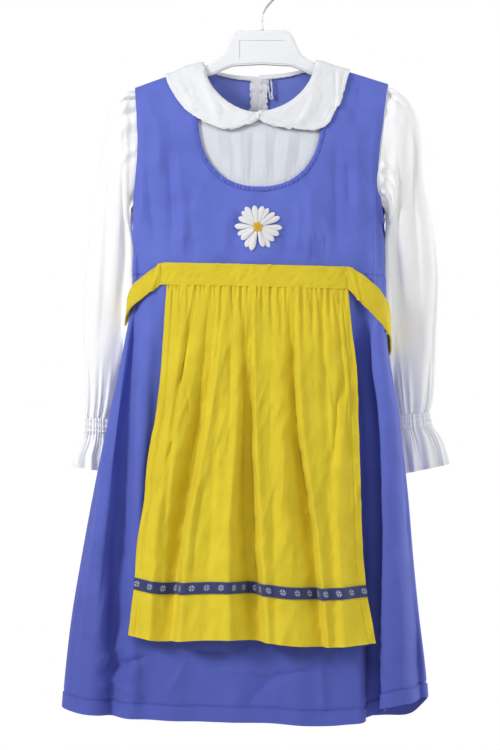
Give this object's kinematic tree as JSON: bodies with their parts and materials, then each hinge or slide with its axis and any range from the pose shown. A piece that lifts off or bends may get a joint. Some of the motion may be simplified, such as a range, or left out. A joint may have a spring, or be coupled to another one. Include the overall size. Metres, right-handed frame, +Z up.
{
  "type": "child's folk costume dress with apron on a hanger",
  "caption": "Blue pinafore with white blouse front, collar and long gathered sleeves, yellow gathered apron with woven ribbon trim and ties, daisy on the chest, on a plastic hanger",
  "frame": {"origin": "the point inside the crown of the hanger's hook that rests on a rail", "axes": "+Z up along the hanging dress, +X to the viewer's right when looking at the front, +Y away from the viewer, so the dress faces -Y"},
  "size_m": [0.4876, 0.1617, 0.9336],
  "materials": {
    "blue_cotton": "plain woven cotton, matte",
    "white_cotton": "thin plain woven cotton, matte",
    "yellow_cotton": "plain woven cotton, matte",
    "woven_ribbon": "woven ribbon with small pale flowers, slight sheen",
    "gold_thread": "satin-stitched thread",
    "frosted_plastic": "frosted translucent",
    "steel_wire": "bright wire",
    "button": "glossy"
  },
  "bodies": {
    "root": {"bodice_front": "blue_cotton", "bodice_back_left": "blue_cotton", "bodice_back_right": "blue_cotton", "skirt_front": "blue_cotton", "skirt_back": "blue_cotton", "blouse_front": "white_cotton", "collar_left": "white_cotton", "collar_right": "white_cotton", "neck_binding": "white_cotton", "slit_placket": "white_cotton", "hanging_loop": "white_cotton", "neck_button": "button", "sleeve_left": "white_cotton", "sleeve_right": "white_cotton", "cuff_left": "white_cotton", "cuff_right": "white_cotton", "frill_left": "white_cotton", "frill_right": "white_cotton", "apron_waistband": "yellow_cotton", "apron_skirt": "yellow_cotton", "apron_trim": "woven_ribbon", "apron_tie_left": "yellow_cotton", "apron_tie_right": "yellow_cotton", "tie_knot": "yellow_cotton", "tie_tail_left": "yellow_cotton", "tie_tail_right": "yellow_cotton", "daisy_petals": "white_cotton", "daisy_eye": "gold_thread", "hanger": "frosted_plastic", "hanger_stem": "frosted_plastic", "hook": "steel_wire"}
  },
  "joints": []
}
